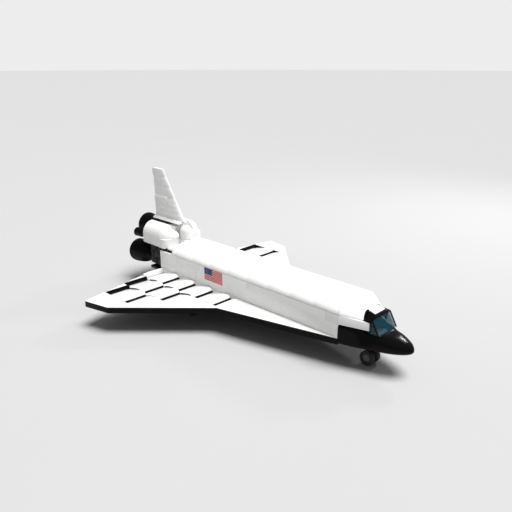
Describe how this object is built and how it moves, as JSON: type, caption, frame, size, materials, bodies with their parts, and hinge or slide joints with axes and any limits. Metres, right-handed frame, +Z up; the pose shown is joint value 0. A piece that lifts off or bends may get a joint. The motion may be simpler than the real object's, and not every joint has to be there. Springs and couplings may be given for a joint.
{
  "type": "toy space shuttle",
  "caption": "Toy space shuttle built of studded bricks, on its wheels, with opening bay doors, canopy and elevons.",
  "frame": {"origin": "on the floor, under the middle of the model's box", "axes": "+X towards the nose, +Y to port, +Z up"},
  "size_m": [0.4246, 0.317, 0.1576],
  "materials": {
    "white_plastic": "glossy moulded plastic",
    "black_plastic": "glossy moulded plastic",
    "grey_plastic": "glossy moulded plastic",
    "tyre": "matt rubber",
    "tinted_glass": "clear moulded plastic with a dark teal tint"
  },
  "bodies": {
    "root": {"keel": "black_plastic", "bay_floor": "grey_plastic", "side_wall_port": "white_plastic", "side_wall_starboard": "white_plastic", "bulkhead_front": "white_plastic", "bulkhead_rear": "white_plastic", "nose": "black_plastic", "cheek_port": "white_plastic", "cheek_starboard": "white_plastic", "roof_front": "white_plastic", "console": "grey_plastic", "seat": "grey_plastic", "wing_port": "black_plastic", "wing_starboard": "black_plastic", "wing_skin_port": "white_plastic", "wing_skin_starboard": "white_plastic", "engine_block": "black_plastic", "body_flap": "black_plastic", "bell_top": "black_plastic", "bell_port": "black_plastic", "bell_starboard": "black_plastic", "pod_port": "white_plastic", "pod_starboard": "white_plastic", "nozzle_port": "black_plastic", "nozzle_starboard": "black_plastic", "tail_deck": "black_plastic", "fin_core": "white_plastic", "fin_base": "black_plastic", "fin_root": "white_plastic", "fin_lower": "white_plastic", "fin_upper": "white_plastic", "tail_dome": "white_plastic", "gear_leg_nose": "black_plastic", "gear_leg_main_port": "black_plastic", "gear_leg_main_starboard": "black_plastic"},
    "bay_door_port": {"bay_door_port": "white_plastic"},
    "bay_door_starboard": {"bay_door_starboard": "white_plastic"},
    "canopy": {"canopy_frame": "black_plastic", "canopy_glass": "tinted_glass", "canopy_cap": "white_plastic"},
    "elevon_inner_port": {"elevon_inner_port": "white_plastic", "elevon_bar_inner_port": "black_plastic"},
    "elevon_outer_port": {"elevon_outer_port": "white_plastic", "elevon_bar_outer_port": "black_plastic"},
    "elevon_inner_starboard": {"elevon_inner_starboard": "white_plastic", "elevon_bar_inner_starboard": "black_plastic"},
    "elevon_outer_starboard": {"elevon_outer_starboard": "white_plastic", "elevon_bar_outer_starboard": "black_plastic"},
    "nose_wheels": {"axle_nose": "grey_plastic", "tyre_nose_port": "tyre", "tyre_nose_starboard": "tyre"},
    "main_wheels_port": {"axle_main_port": "grey_plastic", "tyre_main_port_port": "tyre", "tyre_main_port_starboard": "tyre"},
    "main_wheels_starboard": {"axle_main_starboard": "grey_plastic", "tyre_main_starboard_port": "tyre", "tyre_main_starboard_starboard": "tyre"}
  },
  "joints": [
    {"name": "bay_door_port_hinge", "type": "hinge", "parent": "root", "child": "bay_door_port", "pos_m": [0.0131, 0.032, 0.05835], "axis": [-1, 0, 0], "range_deg": [0, 150]},
    {"name": "bay_door_starboard_hinge", "type": "hinge", "parent": "root", "child": "bay_door_starboard", "pos_m": [0.0131, -0.032, 0.05835], "axis": [1, 0, 0], "range_deg": [0, 150]},
    {"name": "canopy_hinge", "type": "hinge", "parent": "root", "child": "canopy", "pos_m": [0.1657, 0, 0.0628], "axis": [0, -1, 0], "range_deg": [0, 90]},
    {"name": "elevon_inner_port_hinge", "type": "hinge", "parent": "root", "child": "elevon_inner_port", "pos_m": [-0.1313, 0.0799, 0.0314], "axis": [0, 1, 0], "range_deg": [-20, 35]},
    {"name": "elevon_outer_port_hinge", "type": "hinge", "parent": "root", "child": "elevon_outer_port", "pos_m": [-0.1233, 0.112, 0.0314], "axis": [0, 1, 0], "range_deg": [-20, 35]},
    {"name": "elevon_inner_starboard_hinge", "type": "hinge", "parent": "root", "child": "elevon_inner_starboard", "pos_m": [-0.1313, -0.0799, 0.0314], "axis": [0, 1, 0], "range_deg": [-20, 35]},
    {"name": "elevon_outer_starboard_hinge", "type": "hinge", "parent": "root", "child": "elevon_outer_starboard", "pos_m": [-0.1233, -0.112, 0.0314], "axis": [0, 1, 0], "range_deg": [-20, 35]},
    {"name": "nose_wheels_spin", "type": "hinge", "parent": "root", "child": "nose_wheels", "pos_m": [0.1647, 0, 0.008], "axis": [0, 1, 0], "continuous": true},
    {"name": "main_wheels_port_spin", "type": "hinge", "parent": "root", "child": "main_wheels_port", "pos_m": [-0.0564, 0.048, 0.008], "axis": [0, 1, 0], "continuous": true},
    {"name": "main_wheels_starboard_spin", "type": "hinge", "parent": "root", "child": "main_wheels_starboard", "pos_m": [-0.0564, -0.048, 0.008], "axis": [0, 1, 0], "continuous": true}
  ]
}
